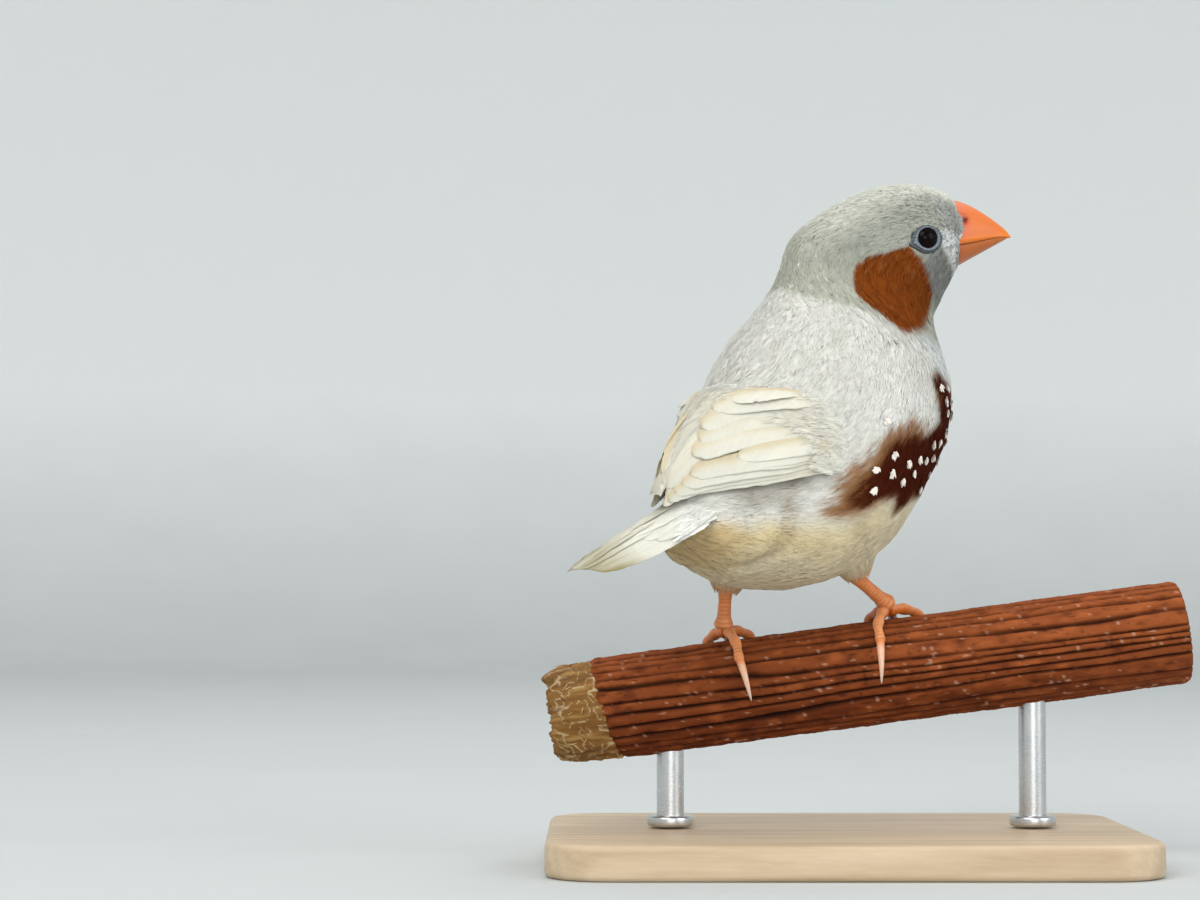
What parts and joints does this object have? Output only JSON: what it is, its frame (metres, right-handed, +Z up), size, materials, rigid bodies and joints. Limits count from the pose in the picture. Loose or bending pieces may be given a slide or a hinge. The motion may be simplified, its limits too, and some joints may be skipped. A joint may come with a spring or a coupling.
{
  "type": "zebra finch",
  "caption": "Zebra finch of a pale colour form, gripping a short tilted perch on a plain display stand, head turned to its right",
  "frame": {"origin": "middle of the underside of the stand's flat base", "axes": "+Z is up, +X runs along the base under the perch towards its higher, barked end, and the bird's tail points to -X and -Y"},
  "size_m": [0.0942, 0.0664, 0.1008],
  "materials": {
    "pale_plumage": "soft cream and white body feathers",
    "grey_plumage": "short pale grey head feathers",
    "wing_feather": "cream flight feathers",
    "orange_horn": "smooth orange-red horn",
    "dark_eye": "wet near-black",
    "orange_skin": "scaled orange skin",
    "red_bark": "furrowed red-brown bark",
    "bare_wood": "gnawed bare wood",
    "stand_wood": "plain satin wood",
    "stand_steel": "plain brushed steel"
  },
  "bodies": {
    "root": {"torso": "pale_plumage", "neck": "grey_plumage", "head": "grey_plumage", "eye_right": "dark_eye", "eye_left": "dark_eye", "upper_bill": "orange_horn", "lower_bill": "orange_horn", "thigh_right": "pale_plumage", "thigh_left": "pale_plumage", "leg_right": "orange_skin", "leg_left": "orange_skin", "wing_right": "wing_feather", "wing_left": "wing_feather", "tail": "wing_feather", "perch_branch": "red_bark", "perch_bare_end": "bare_wood", "stand_base": "stand_wood", "stand_rod_1": "stand_steel", "stand_rod_2": "stand_steel"}
  },
  "joints": []
}
